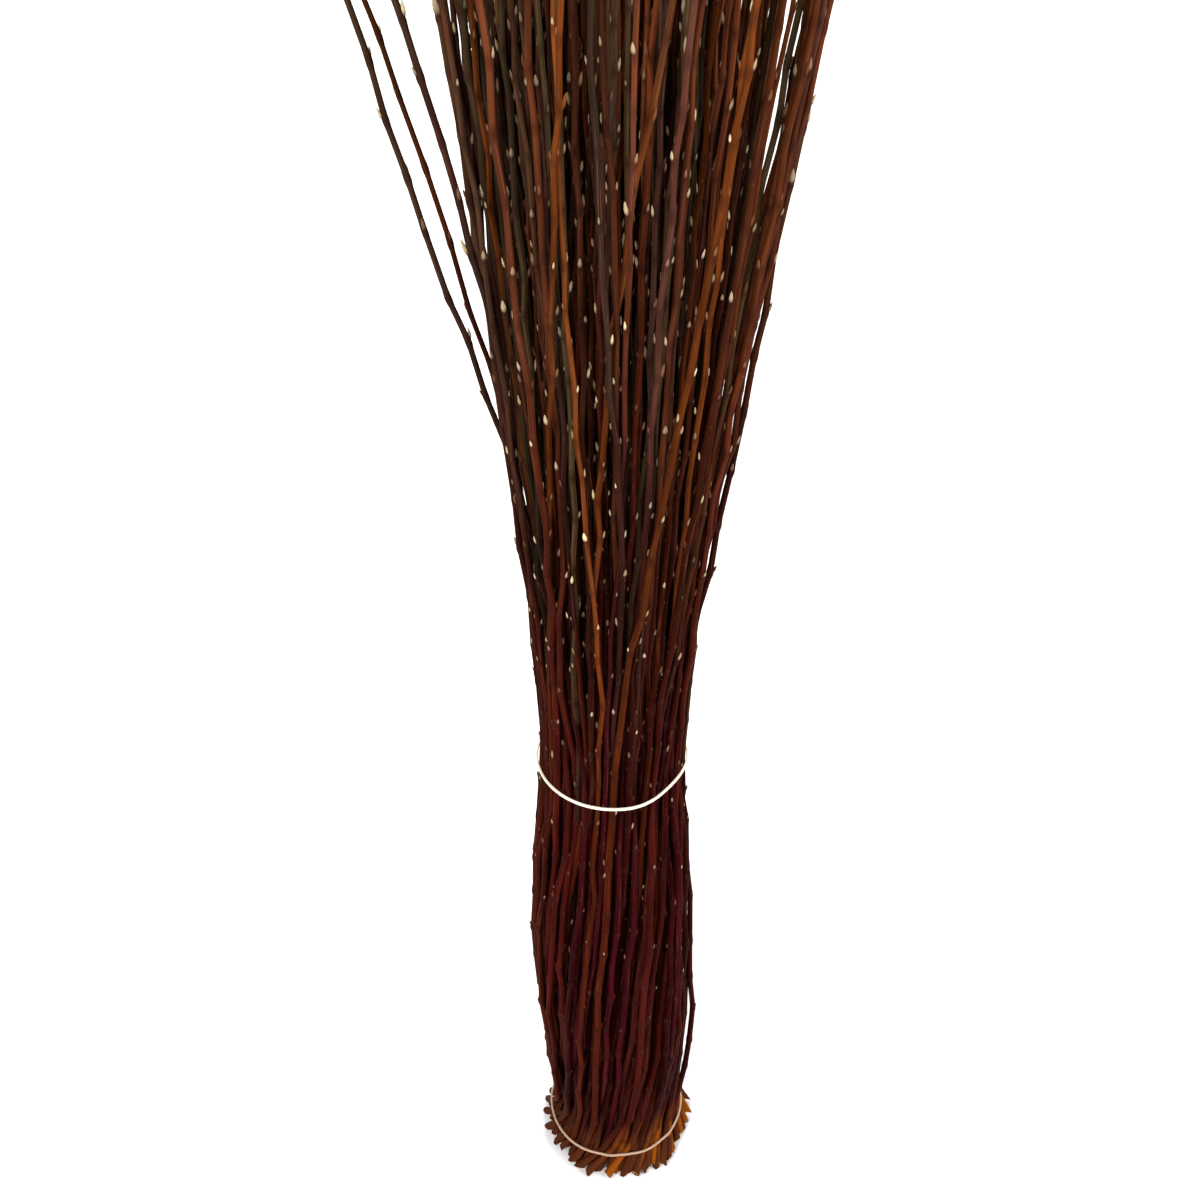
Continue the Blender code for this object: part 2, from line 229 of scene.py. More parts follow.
# %% Lay out the inner rods
INNER_RODS = 300
INNER_SHARE = np.interp(LEVELS, (0.45, 0.72), (0.86, 0.92))[:, None]
INNER_SHIFT = np.interp(LEVELS, (0.5, 0.72, 0.85, 1.0), (0.0, -0.004, -0.0075, -0.009))[:, None]
GOLDEN_ANGLE = math.pi * (3 - math.sqrt(5))
SHORTEST_INNER = 0.95
LONGEST_INNER = 1.15
WANDER = 0.15
INNER_MARGIN = np.interp(
    LEVELS,
    (0.0, 0.025, 0.06, 0.1, 0.15, 0.31, 0.36, 0.6, 0.85),
    (0.007, 0.003, 0.0035, 0.005, 0.006, 0.006, 0.0035, 0.0035, 0.008),
)
FOOT_SPREAD = 1.20
LEFT_CROWDING = np.interp(LEVELS, (0.5, 0.75), (0.0, 0.20))[:, None]
ROUNDS = 160
FILLERS = {
    136: {0.15: (0.0483, 0.0085), 0.2: (0.0464, 0.0129), 0.255: (0.0405, 0.0186), 0.31: (0.0320, 0.0195)},
    255: {0.2: (-0.0415, 0.0035), 0.255: (-0.0464, -0.0032), 0.31: (-0.0456, -0.0053), 0.36: (-0.0435, -0.0075)},
    260: {0.5: (-0.0435, 0.0100), 0.6: (-0.0555, 0.0135), 0.72: (-0.0659, 0.0180), 0.85: (-0.0735, 0.0200),
          1.0: (-0.0810, 0.0220)},
    269: {0.6: (0.0345, -0.0275), 0.72: (0.0459, -0.0300), 0.85: (0.0589, -0.0305), 1.0: (0.0722, -0.0310)},
}

rng = np.random.default_rng(5)
inner_lengths = rng.uniform(SHORTEST_INNER, LONGEST_INNER, INNER_RODS)
inner_thickness = rng.uniform(0.84, 1.12, INNER_RODS)
inner_radii = inner_thickness * rod_radius(LEVELS[:, None], inner_lengths)


def wished_courses():
    """Places of the inner rods at each level before they push each other aside."""
    number = np.arange(INNER_RODS)
    share = np.sqrt((number + 0.5) / INNER_RODS)
    angle = number * GOLDEN_ANGLE
    flat = np.stack([np.cos(angle), np.sin(angle)], axis=-1) * share[:, None]
    waves = rng.normal(0.0, WANDER, (2, INNER_RODS, 2))
    rise = LEVELS[:, None, None]
    flat = INNER_SHARE[..., None] * flat + waves[0] * np.sin(rise * 5.0 + waves[1] * 12.0)
    flat *= np.minimum(1.0, INNER_SHARE[..., None] / np.linalg.norm(flat, axis=2, keepdims=True))
    turned = np.stack(
        [
            flat[..., 0] * np.cos(TURN)[:, None] - flat[..., 1] * np.sin(TURN)[:, None],
            flat[..., 0] * np.sin(TURN)[:, None] + flat[..., 1] * np.cos(TURN)[:, None],
        ],
        axis=-1,
    )
    turned[0] *= FOOT_SPREAD
    turned[..., 0] -= LEFT_CROWDING * (1.0 - (turned**2).sum(axis=2))
    turned *= REACHES[:, None, None]
    turned[..., 0] += INNER_SHIFT
    return turned + MIDDLES[:, None]


def pushes(places, radii, others, other_radii):
    """How far each place has to move to clear the others that it overlaps."""
    offset = places[:, :, None] - others[:, None]
    distance = np.maximum(np.linalg.norm(offset, axis=3), 1e-9)
    short = np.maximum(radii[:, :, None] + other_radii[:, None] - distance, 0.0)
    short[distance < 1e-8] = 0.0
    return (offset * (short / distance)[..., None]).sum(axis=2)


def straighten(places, strength):
    """Eases each rod towards a straight line between the levels above and below."""
    share = ((LEVELS[1:-1] - LEVELS[:-2]) / (LEVELS[2:] - LEVELS[:-2]))[:, None, None]
    places[1:-1] += strength * ((1 - share) * places[:-2] + share * places[2:] - places[1:-1])


inner_paths = wished_courses()
for turn in range(ROUNDS):
    ease = 1.0 - turn / ROUNDS
    inner_paths += 0.5 * pushes(inner_paths, inner_radii, inner_paths, inner_radii)
    inner_paths += pushes(inner_paths, inner_radii, outer_paths, outer_radii)
    straighten(inner_paths, 0.25 * ease)
    offset = inner_paths - MIDDLES[:, None]
    reach = np.linalg.norm(offset, axis=2, keepdims=True)
    offset *= np.minimum(1.0, (REACHES + INNER_MARGIN)[:, None, None] / reach)
    inner_paths = offset + MIDDLES[:, None]
for number, places in FILLERS.items():
    for height, place in places.items():
        inner_paths[np.abs(LEVELS - height).argmin(), number] = place
left = pushes(inner_paths, inner_radii, inner_paths, inner_radii)
print("inner rods:", INNER_RODS, "mean push left in mm:", round(1000 * np.abs(left).mean(), 3))

# %% [markdown]
# ## One rod to copy
# A willow rod is a row of straight lengths between its joints, each joint a little thicker and
# turned a few degrees, with one flat bud pressed against the bark above it. So a rod is a cylinder
# with a few loops of edges at every joint, and a small pointed ball for every bud. That mesh is
# made once, with operators. Each rod is then a copy of it whose points are moved onto the rod's own
# course, which is far faster than modelling some three hundred and forty of them.

# %% Make the cylinder and its buds
JOINT_OFFSETS = {"fine": (-0.0050, -0.0014, 0.0010, 0.0052), "plain": (-0.0045, 0.0, 0.0048)}
JOINT_SWELLS = {"fine": (0.0, 0.20, 0.17, 0.02), "plain": (0.0, 0.20, 0.0)}
BUTT_RINGS = 2
BARK_RIM = 0.13
PITH_RIM = 0.52


def rod_template(kind, sides, joints, bud_segments, bud_rings):
    """A straight rod of unit radius and height, and its buds as unit balls, as one mesh."""
    rings = BUTT_RINGS + joints * len(JOINT_OFFSETS[kind]) + 1
    bm = bmesh.new()
    bud_of = bm.verts.layers.int.new("bud_number")
    bmesh.ops.create_cone(bm, cap_ends=True, segments=sides, radius1=1.0, radius2=1.0, depth=1.0)
    upright = [edge for edge in bm.edges if abs(edge.verts[0].co.z - edge.verts[1].co.z) > 0.5]
    bmesh.ops.subdivide_edges(bm, edges=upright, cuts=rings - 2)
    caps = sorted((face for face in bm.faces if len(face.verts) > 4), key=lambda face: face.calc_center_median().z)
    bmesh.ops.inset_individual(bm, faces=caps[:1], thickness=BARK_RIM, use_even_offset=True)
    bmesh.ops.inset_individual(bm, faces=caps[:1], thickness=PITH_RIM, use_even_offset=True)
    bmesh.ops.poke(bm, faces=caps)
    for number in range(joints):
        ball = bmesh.ops.create_uvsphere(bm, u_segments=bud_segments, v_segments=bud_rings, radius=1.0)
        for vert in ball["verts"]:
            vert[bud_of] = number + 1
    mesh = bpy.data.meshes.new(f"{kind}_rod")
    bm.to_mesh(mesh)
    bm.free()
    mesh.shade_smooth()
    return mesh


OUTER_JOINTS = 35
INNER_JOINTS = 33
templates = {
    "fine": rod_template("fine", 10, OUTER_JOINTS, 8, 6),
    "plain": rod_template("plain", 6, INNER_JOINTS, 4, 4),
}
for kind, mesh in templates.items():
    mesh.calc_loop_triangles()
    print(kind, "rod:", len(mesh.loop_triangles), "triangles")

# %% [markdown]
# ## Read the template back
# To move the points of a copy, the script needs to know what each one is: on which ring of the
# cylinder it lies and in which direction, or to which bud it belongs and where on it.

# %% Sort the template's points
def numbers_of(mesh):
    """The template's points and corners as arrays."""
    count = len(mesh.vertices)
    local = np.empty(count * 3, np.float32)
    mesh.vertices.foreach_get("co", local)
    bud = np.empty(count, np.int32)
    mesh.attributes["bud_number"].data.foreach_get("value", bud)
    corner = np.empty(len(mesh.loops), np.int32)
    mesh.loops.foreach_get("vertex_index", corner)
    start = np.empty(len(mesh.polygons), np.int32)
    mesh.polygons.foreach_get("loop_start", start)
    return local.reshape(-1, 3), bud - 1, corner, start


print("points in the fine rod:", len(numbers_of(templates["fine"])[0]))

# %% [markdown]
# ## Growing a rod
# The joints sit 30 to 50 mm apart. At each the rod turns a little away from the bud, and the buds go
# round the rod by two fifths of a turn from one to the next, as they do on willow. The cut end is
# oblique, as secateurs leave it, and flares slightly.

# %% Place the rings of one rod
BUD_TURN = math.tau * 2 / 5
KINK = 0.00085
STEP_TAPER = (1.3, 0.72)
CUT_SLOPES = (0.6, 1.4)
BUTT_FLARE = 1.30
BUTT_LENGTH = 0.018
SLIMMING = ((0.42, 0.54, 0.64, 0.90), (1.0, 0.85, 0.87, 0.96))
TIED_AT = np.array([sum(corner.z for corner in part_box(node)) / 2 for node in ("lower_band", "upper_band")])
TIED_NEAR = 0.03


def unit(vectors):
    return vectors / np.linalg.norm(vectors, axis=-1, keepdims=True)


def joint_heights(foot, top, joints, rng):
    steps = rng.uniform(0.72, 1.28, joints + 1) * np.linspace(*STEP_TAPER, joints + 1)
    steps[0] *= rng.uniform(0.6, 1.0)
    return foot + (top - foot) * np.cumsum(steps)[:-1] / steps.sum()


def lay_rings(kind, knots, radii, joints, rng):
    """Centres, radii and directions of a rod's rings, and the same for its joints."""
    foot, top = knots[0, 2], knots[-1, 2]
    height = joint_heights(foot, top, joints, rng)
    bud_angle = rng.uniform(0, math.tau) + BUD_TURN * np.arange(joints) + rng.normal(0, 0.25, joints)
    bend = KINK * rng.uniform(0.2, 1.8, joints)
    loose = np.clip(np.abs(height[:, None] - TIED_AT).min(axis=1) / TIED_NEAR, 0.15, 1.0)
    bend *= loose
    bent = course_at(knots, height) + np.stack([np.cos(bud_angle), np.sin(bud_angle)], -1) * bend[:, None]
    steps = np.diff(np.concatenate([[foot], height, [top]]))
    room = 0.42 * np.minimum(steps[:-1], steps[1:])
    line = np.vstack([knots[:1, :2], bent, course_at(knots, TIED_AT), knots[-1:, :2]])
    line_height = np.concatenate([[foot], height, TIED_AT, [top]])
    line, line_height = line[line_height.argsort()], np.sort(line_height)

    offsets = np.array(JOINT_OFFSETS[kind])
    ring_height = height[:, None] + np.clip(offsets, -room[:, None], room[:, None])
    swell = 1.0 + np.array(JOINT_SWELLS[kind]) * rng.uniform(0.5, 1.5, (joints, 1)) * loose[:, None]
    ring_height = np.concatenate([[foot, foot + BUTT_LENGTH], ring_height.ravel(), [top]])
    ring_radius = np.interp(ring_height, knots[:, 2], radii) * np.interp(ring_height, *SLIMMING)
    ring_radius *= np.concatenate([[BUTT_FLARE, 1.0], swell.ravel(), [1.0]])
    ring_height[BUTT_RINGS:] = np.maximum(ring_height[BUTT_RINGS:], foot + BUTT_LENGTH + 0.002)
    ring_height = np.maximum.accumulate(ring_height + 1e-6 * np.arange(len(ring_height)))
    centre = np.stack(
        [
            np.interp(ring_height, line_height, line[:, 0]),
            np.interp(ring_height, line_height, line[:, 1]),
            ring_height,
        ],
        axis=-1,
    )
    along = unit(np.gradient(centre, ring_height, axis=0))
    right = unit(np.array([1.0, 0.0, 0.0]) - along * along[:, :1])
    back = np.cross(along, right)
    return centre, ring_radius, (right, back, along), height, bud_angle


# %% Put the template's points onto the rings
BUD_LENGTH = 0.0031
BUD_WIDTH = 0.00125
BUD_DEPTH = 0.0009
BUD_LEAN = 0.17
BUD_SHARPNESS = 0.62
BUD_HEIGHTS = (0.04, 0.15, 0.30, 0.45, 0.62, 0.85, 1.10)
BUD_SIZES = (0.40, 0.58, 0.68, 0.78, 0.92, 1.03, 0.92)
BUD_TONES = (0.02, 0.08, 0.18, 0.23, 0.33, 0.33, 0.29)


def bud_growth(height, rng):
    """Size, slimness and paleness of each bud: rubbed and dull low down, fuller and cream higher up."""
    size = np.interp(height, BUD_HEIGHTS, BUD_SIZES) * np.exp(rng.normal(0.0, 0.20, len(height)))
    slim = rng.uniform(0.62, 1.08, len(height))
    pale = np.interp(height, BUD_HEIGHTS, BUD_TONES) * np.exp(rng.normal(0.0, 0.62, len(height)))
    return np.clip(size, 0.3, 1.6), slim, np.clip(pale, 0.05, 0.95)


def shape_rod(kind, knots, radii, joints, rng):
    """The coordinates of every point of a rod, and the numbers that its material reads."""
    local, bud, corner, start = numbers_of(templates[kind])
    centre, ring_radius, (right, back, along), height, bud_angle = lay_rings(kind, knots, radii, joints, rng)
    rings = len(centre)
    ring = np.clip(np.rint((local[:, 2] + 0.5) * (rings - 1)).astype(int), 0, rings - 1)
    x, y = local[:, :1], local[:, 1:2]
    spread = ring_radius[ring][:, None]
    points = centre[ring] + spread * (x * right[ring] + y * back[ring])

    cut_turn, slope = rng.uniform(0, math.tau), rng.uniform(*CUT_SLOPES)
    raised = slope * ring_radius[0] * (1.0 + x * math.cos(cut_turn) + y * math.sin(cut_turn))
    points = np.where((ring == 0)[:, None] & (bud < 0)[:, None], points + raised * along[0], points)

    size, slimness, pale = bud_growth(height, rng)
    at = np.searchsorted(centre[:, 2], height)
    thick = ring_radius[at]
    out = np.cos(bud_angle)[:, None] * right[at] + np.sin(bud_angle)[:, None] * back[at]
    side = np.cross(along[at], out)
    up = unit(along[at] + BUD_LEAN * out)
    slim = (thick / BUTT_RADIUS) ** 0.35
    base = centre[at] + out * (0.86 * thick)[:, None]
    mine = np.maximum(bud, 0)
    rise = local[:, 2:3]
    narrow = 1.0 - BUD_SHARPNESS * ((rise + 1.0) / 2.0) ** 1.6
    bulk = (size * slim)[mine][:, None]
    bud_points = (
        base[mine]
        + side[mine] * BUD_WIDTH * bulk * slimness[mine][:, None] * x * narrow
        + out[mine] * BUD_DEPTH * bulk * y * narrow
        + up[mine] * BUD_LENGTH * bulk * (rise + 0.75)
    )
    is_bud = bud >= 0
    points = np.where(is_bud[:, None], bud_points, points)
    points[:, 2] = np.maximum(points[:, 2], 0.0)

    shift = rng.uniform(0.0, 9.0, 3)
    straight = np.concatenate([spread * x, spread * y, centre[ring][:, 2:]], axis=1) + shift
    straight = np.where(is_bud[:, None], 0.002 * local + centre[at][mine] + shift, straight)
    nearest = np.abs(centre[ring][:, 2:] - height[None]).min(axis=1)
    flat = np.hypot(local[:, 0], local[:, 1])
    values = {
        "bud_pale": np.where(is_bud, pale[mine], 0.0),
        "bud_tip": np.where(is_bud, (local[:, 2] + 1.0) / 2.0, 0.0),
        "joint_scar": np.where(is_bud, 0.0, np.clip(1.0 - nearest / 0.0035, 0.0, 1.0)),
        "cut_wood": np.where(is_bud | (ring > 0), 0.0, np.clip((1.0 - flat) / BARK_RIM, 0.0, 7.0)),
    }
    return points, straight, values, ring, centre


print("buds are up to", round(2000 * BUD_LENGTH, 1), "mm long")

# %% [markdown]
# ## A map for the bark
# A rod is two hundred times longer than it is thick, so a plain unwrap would leave it a hair's
# breadth of the picture that the finish is baked into. The map here cuts each rod into short
# lengths and lays them side by side, and puts the buds in a column of their own.

# %% Fold the map of a rod
STRIPS = 8
MARGIN = 0.05


def folded_map(kind, ring, centre):
    """A place in the unit square for every corner of a rod's faces."""
    local, bud, corner, start = numbers_of(templates[kind])
    corners = np.diff(np.append(start, len(corner)))
    face = np.repeat(np.arange(len(start)), corners)
    rings, joints = len(centre), bud.max() + 1
    turn = np.arctan2(local[corner, 1], local[corner, 0]) / math.tau % 1.0
    wraps = (np.maximum.reduceat(turn, start) - np.minimum.reduceat(turn, start) > 0.5)[face]
    turn = np.where(wraps & (turn < 0.5), turn + 1.0, turn)
    low = np.minimum.reduceat(ring[corner], start)[face]
    high = np.maximum.reduceat(ring[corner], start)[face]
    strip = low * STRIPS // (rings - 1)
    first = -(-np.arange(STRIPS + 1) * (rings - 1) // STRIPS)
    first[-1] = rings - 1
    height = centre[:, 2]
    longest = np.diff(height[first]).max()
    strip = np.minimum(strip, STRIPS - 1)
    u = (strip + MARGIN + (1 - 2 * MARGIN) * turn) / (STRIPS + 1)
    v = (height[ring[corner]] - height[first[strip]]) / longest
    at, cells = local[corner], joints + 1
    outside = (np.add.reduceat(at[:, 1], start) > 0)[face]
    is_bud, is_cap = bud[corner] >= 0, (low == high) & (bud[corner] < 0)
    u = np.where(is_bud, (STRIPS + np.where(outside, 0.25, 0.75) + 0.2 * at[:, 0]) / (STRIPS + 1), u)
    v = np.where(is_bud, (bud[corner] + 0.5 + 0.45 * at[:, 2]) / cells, v)
    u = np.where(is_cap, (STRIPS + np.where(low == 0, 0.25, 0.75) + 0.2 * at[:, 0]) / (STRIPS + 1), u)
    v = np.where(is_cap, (joints + 0.5 + 0.45 * at[:, 1]) / cells, v)
    return np.stack([u, v], axis=-1)


SHADE_HEIGHTS = (0.40, 0.52, 0.62, 0.88)
HIGH_SHADES = (0.84, 0.90, 1.36)


def rod_mesh(name, kind, knots, radii, joints, look, rng, tile=(0, 0), tiles=(1, 1)):
    """One finished rod as a mesh of its own."""
    points, straight, values, ring, centre = shape_rod(kind, knots, radii, joints, rng)
    mesh = templates[kind].copy()
    mesh.name = name
    mesh.vertices.foreach_set("co", points.astype(np.float32).ravel())
    place = mesh.attributes.new("straight_place", "FLOAT_VECTOR", "POINT")
    place.data.foreach_set("vector", straight.astype(np.float32).ravel())
    # On the deep inner rods these brightnesses carry painted shade, and their tops get part of it back.
    low_shade, high_shade, painted_shade_top_lift, ripe, warmth = look
    shades = [low_shade, *(high_shade * share for share in HIGH_SHADES)]
    shades[-1] *= painted_shade_top_lift
    values["rod_tone_and_painted_shade"] = np.interp(centre[ring][:, 2], SHADE_HEIGHTS, shades)
    values["rod_ripe"] = np.full(len(points), ripe)
    values["rod_warmth"] = np.full(len(points), warmth)
    for label, numbers in values.items():
        layer = mesh.attributes.new(label, "FLOAT", "POINT")
        layer.data.foreach_set("value", numbers.astype(np.float32))
    bark_map = (folded_map(kind, ring, centre) + tile) / tiles
    layer = mesh.uv_layers.new(name="OFBake", do_init=False)
    layer.uv.foreach_set("vector", bark_map.astype(np.float32).ravel())
    mesh.attributes.remove(mesh.attributes["bud_number"])
    mesh.update()
    return mesh


print("map strips per rod:", STRIPS)

# %% [markdown]
# ## Bark
# Dried willow bark is dark and satin: maroon to red-brown low down, browner and greyer towards the
# tips, with a few rods of a clear orange. Fine streaks and wrinkles run along it, pale dots are
# scattered over it, thin pale lines of painted sheen run along it, and every joint has a darker
# ring. The last few centimetres above the cut are dried to ochre. One node group paints all of it,
# and each of the four barks gives it two colours.

# %% Helper for shader nodes
def colour(red, green, blue):
    """A screen colour from 0 to 255 as the linear value that a shader takes."""
    screen = np.array([red, green, blue]) / 255.0
    linear = np.where(screen <= 0.04045, screen / 12.92, ((screen + 0.055) / 1.055) ** 2.4)
    return (*(float(part) for part in linear), 1.0)


def add(tree, kind, links=(), **settings):
    """A new node: settings are its properties, or its inputs where a name says so."""
    node = tree.nodes.new(kind)
    inputs = settings.pop("inputs", {})
    for name, value in settings.items():
        setattr(node, name, value)
    for name, value in inputs.items():
        node.inputs[name].default_value = value
    for name, source in dict(links).items():
        tree.links.new(source, node.inputs[name])
    return node


def attribute(tree, name, output="Fac"):
    return add(tree, "ShaderNodeAttribute", attribute_name=name).outputs[output]


def ranged(tree, source, low, high, to_low=0.0, to_high=1.0):
    """The source from low to high, stretched to another range and held within it."""
    node = add(
        tree,
        "ShaderNodeMapRange",
        {"Value": source},
        interpolation_type="SMOOTHSTEP",
        inputs={"From Min": low, "From Max": high, "To Min": to_low, "To Max": to_high},
    )
    return node.outputs["Result"]


def mixed(tree, share, first, second, blend="MIX"):
    """Two colours mixed by a share. Each may be a colour or another node's output."""
    node = add(tree, "ShaderNodeMix", data_type="RGBA", blend_type=blend)
    for index, value in ((0, share), (6, first), (7, second)):
        if isinstance(value, bpy.types.NodeSocket):
            tree.links.new(value, node.inputs[index])
        else:
            node.inputs[index].default_value = value
    return node.outputs[2]


def counted(tree, operation, first, second):
    """Arithmetic on two numbers. Each may be a number or another node's output."""
    node = add(tree, "ShaderNodeMath", operation=operation)
    for index, value in enumerate((first, second)):
        if isinstance(value, bpy.types.NodeSocket):
            tree.links.new(value, node.inputs[index])
        else:
            node.inputs[index].default_value = value
    return node.outputs["Value"]


print("maroon as a linear colour:", [round(part, 3) for part in colour(75, 32, 32)[:3]])

# %% Node group for bark
IVORY = colour(226, 204, 160)
BUD_WARM = colour(176, 112, 78)
BUD_BROWN = colour(84, 56, 32)
SCAR = colour(40, 20, 16)
OCHRE = colour(80, 40, 20)
VIVID = colour(136, 70, 14)
WOOD = colour(176, 128, 70)
PITH = colour(92, 54, 26)
SPECK = colour(104, 70, 44)
# Colour of the thin pale lines of painted sheen along the rods.
PAINTED_SHEEN = colour(150, 96, 76)
WARM = colour(82, 38, 13)
GREY = colour(54, 44, 33)
FOOT_WARMTH = 12.0


def stretched_noise(tree, place, across, up, detail):
    """Noise that is finer across a rod than along it."""
    mapping = add(tree, "ShaderNodeMapping", {"Vector": place}, inputs={"Scale": (across, across, up)})
    return add(
        tree,
        "ShaderNodeTexNoise",
        {"Vector": mapping.outputs["Vector"]},
        inputs={"Scale": 1.0, "Detail": detail, "Roughness": 0.55},
    ).outputs["Fac"]


def bark_group():
    tree = bpy.data.node_groups.new("dried_bark", "ShaderNodeTree")
    face = tree.interface
    face.new_socket("Low Colour", in_out="INPUT", socket_type="NodeSocketColor")
    face.new_socket("High Colour", in_out="INPUT", socket_type="NodeSocketColor")
    for name, kind in (("Color", "Color"), ("Roughness", "Float"), ("Height", "Float")):
        face.new_socket(name, in_out="OUTPUT", socket_type=f"NodeSocket{kind}")
    given = tree.nodes.new("NodeGroupInput").outputs
    result = tree.nodes.new("NodeGroupOutput").inputs

    place = attribute(tree, "straight_place", "Vector")
    object_place = add(tree, "ShaderNodeTexCoord").outputs["Object"]
    where = add(tree, "ShaderNodeSeparateXYZ", {"Vector": object_place}).outputs
    height = where["Z"]
    streak = stretched_noise(tree, place, 1500.0, 28.0, 4.0)
    patch = stretched_noise(tree, place, 110.0, 14.0, 2.0)
    drift = stretched_noise(tree, place, 60.0, 8.0, 1.0)

    warmth = counted(tree, "ADD", attribute(tree, "rod_warmth"), ranged(tree, drift, 0.3, 0.7, -0.35, 0.35))
    upper = mixed(tree, ranged(tree, warmth, 0.5, 1.2, 0.0, 0.55), given["High Colour"], WARM)
    upper = mixed(tree, ranged(tree, warmth, 0.5, -0.2, 0.0, 0.70), upper, GREY)
    ripe = counted(tree, "ADD", height, attribute(tree, "rod_ripe"))
    tint = mixed(tree, ranged(tree, ripe, 0.36, 0.84), given["Low Colour"], upper)
    # A rod's brightness: its own tone, with painted shade on the deep inner rods, times patches and streaks.
    shade = counted(tree, "MULTIPLY", attribute(tree, "rod_tone_and_painted_shade"), ranged(tree, patch, 0.25, 0.75, 0.64, 1.38))
    shade = counted(tree, "MULTIPLY", shade, ranged(tree, streak, 0.3, 0.7, 0.72, 1.28))
    grey = add(tree, "ShaderNodeCombineColor", {"Red": shade, "Green": shade, "Blue": shade}).outputs["Color"]
    tint = mixed(tree, 1.0, tint, grey, "MULTIPLY")

    cell = add(tree, "ShaderNodeMapping", {"Vector": place}, inputs={"Scale": (620.0, 620.0, 210.0)})
    dots = add(tree, "ShaderNodeTexVoronoi", {"Vector": cell.outputs["Vector"]}, inputs={"Scale": 1.0})
    chosen = add(tree, "ShaderNodeSeparateColor", {"Color": dots.outputs["Color"]}).outputs["Red"]
    speck = counted(tree, "MULTIPLY", ranged(tree, dots.outputs["Distance"], 0.28, 0.10), ranged(tree, chosen, 0.70, 0.78))
    tint = mixed(tree, counted(tree, "MULTIPLY", speck, 0.35), tint, SPECK)
    # Thin pale lines along the rods: painted sheen, in place of highlights along them.
    line = stretched_noise(tree, place, 2600.0, 12.0, 1.0)
    tint = mixed(tree, ranged(tree, line, 0.66, 0.74, 0.0, 0.30), tint, PAINTED_SHEEN)

    dry = counted(tree, "ADD", height, ranged(tree, patch, 0.2, 0.8, -0.022, 0.022))
    foot_warmth = counted(tree, "ADD", warmth, counted(tree, "MULTIPLY", where["X"], FOOT_WARMTH))
    ochre = mixed(tree, ranged(tree, foot_warmth, 0.95, 1.35), OCHRE, VIVID)
    tint = mixed(tree, ranged(tree, dry, 0.070, 0.008, 0.0, 0.85), tint, ochre)
    scar = counted(tree, "MULTIPLY", attribute(tree, "joint_scar"), 0.6)
    tint = mixed(tree, scar, tint, SCAR)

    bud = attribute(tree, "bud_pale")
    bud_skin = mixed(tree, ranged(tree, bud, 0.12, 0.42), BUD_WARM, IVORY)
    bud_colour = mixed(tree, ranged(tree, attribute(tree, "bud_tip"), 0.02, 0.5), BUD_BROWN, bud_skin)
    bud_colour = mixed(tree, bud, tint, bud_colour)
    tint = mixed(tree, ranged(tree, bud, 0.0, 0.04), tint, bud_colour)

    cut = attribute(tree, "cut_wood")
    wood = mixed(tree, ranged(tree, cut, 5.2, 6.2), mixed(tree, ranged(tree, patch, 0.3, 0.7), WOOD, OCHRE), PITH)
    tint = mixed(tree, ranged(tree, cut, 0.4, 1.0), tint, wood)
    tree.links.new(tint, result["Color"])
    tree.links.new(ranged(tree, streak, 0.3, 0.7, 0.36, 0.52), result["Roughness"])
    tree.links.new(counted(tree, "SUBTRACT", streak, speck), result["Height"])
    return tree


# %% The four barks
BARKS = {
    "bark_maroon": (colour(47, 7, 11), colour(60, 32, 25)),
    "bark_red": (colour(58, 13, 9), colour(74, 38, 22)),
    "bark_orange": (colour(64, 20, 7), colour(86, 42, 14)),
    "bark_olive": (colour(49, 14, 10), colour(64, 50, 32)),
}
BUMP_DEPTH = 0.00035


def bark_material(name, low, high, group):
    material = bpy.data.materials.new(name)
    material.use_nodes = True
    tree = material.node_tree
    shader = tree.nodes["Principled BSDF"]
    bark = add(tree, "ShaderNodeGroup", node_tree=group)
    bark.inputs["Low Colour"].default_value = low
    bark.inputs["High Colour"].default_value = high
    bump = add(
        tree,
        "ShaderNodeBump",
        {"Height": bark.outputs["Height"]},
        inputs={"Strength": 0.6, "Distance": BUMP_DEPTH},
    )
    shader.inputs["Specular IOR Level"].default_value = 0.003
    tree.links.new(bark.outputs["Color"], shader.inputs["Base Color"])
    tree.links.new(bark.outputs["Roughness"], shader.inputs["Roughness"])
    tree.links.new(bump.outputs["Normal"], shader.inputs["Normal"])
    return material


dried_bark = bark_group()
barks = {name: bark_material(name, low, high, dried_bark) for name, (low, high) in BARKS.items()}
print("barks:", ", ".join(barks))

# %% [markdown]
# ## The outer rods
# Every outer rod is a piece of its own, in place of its plain tube in the frame, and takes its bark
# from the same slot of the record as that tube.

# %% Grow the outer rods
SHADES = (0.58, 1.36)
RIPENESS = 0.09
WARMTH_PER_METRE = 5.0
LOOKS = {
    "rod_27": (0.9, 0.85, 1.0, 0.06, 0.7),
    "rod_33": (0.9, 1.45, 1.0, 0.12, 0.7),
    "rod_35": (0.9, 0.9, 1.0, 0.06, 0.7),
    "rod_56": (0.8, 0.6, 1.0, -0.10, 0.2),
}
SLIMMED = {"rod_33": 0.82}
CUT_EDGE = math.radians(50.0)

slot_of = {part["node"]: part["material_slot"] for part in frame["record"]["subparts"]}


def look_of(node, knots, painted_dimming, rng):
    """Brightness low and high on a rod, with painted shade in both for the deep inner rods, how much of
    that painted shade the top gets back, how far its upper colour reaches down, and its warmth."""
    warmth = rng.uniform(0.0, 1.0) + WARMTH_PER_METRE * knots[-1, 0]
    look = (*(painted_dimming * rng.uniform(*SHADES, 2)), painted_dimming**-0.5, rng.normal(0.0, RIPENESS), warmth)
    return LOOKS.get(node, look)


def finish_piece(name, mesh, nodes):
    """Shows a mesh as a piece that moves with the frame and stands for its nodes."""
    mesh.set_sharp_from_angle(angle=CUT_EDGE)
    piece = bpy.data.objects.new(name, mesh)
    bpy.context.scene.collection.objects.link(piece)
    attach(piece, "root")
    if nodes:
        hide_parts(*nodes)
    return piece


